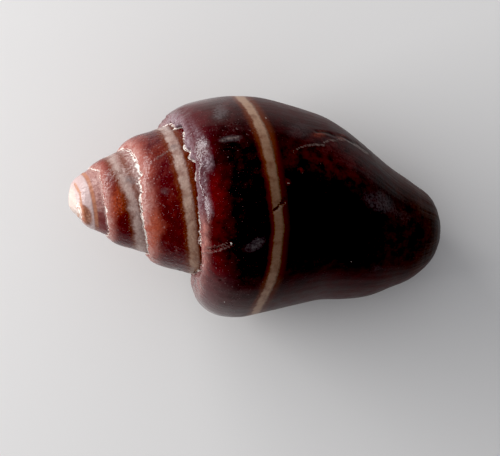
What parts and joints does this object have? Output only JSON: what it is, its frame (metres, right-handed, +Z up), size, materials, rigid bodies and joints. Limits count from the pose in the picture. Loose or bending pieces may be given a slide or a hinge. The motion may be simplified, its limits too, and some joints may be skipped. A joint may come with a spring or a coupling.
{
  "type": "mitre shell",
  "caption": "Stout glossy mitre shell with a stepped conical spire, a rounded body whorl, a narrow aperture underneath and oblique columella folds.",
  "frame": {"origin": "centre of the bounding box's bottom, on the surface the shell lies on", "axes": "+X from the apex of the spire towards the anterior tip, +Z up with the aperture facing down, +Y towards the side away from the outer lip"},
  "size_m": [0.0228, 0.0136, 0.0117],
  "materials": {
    "shell": "gloss"
  },
  "bodies": {
    "root": {"shell": "shell"}
  },
  "joints": []
}
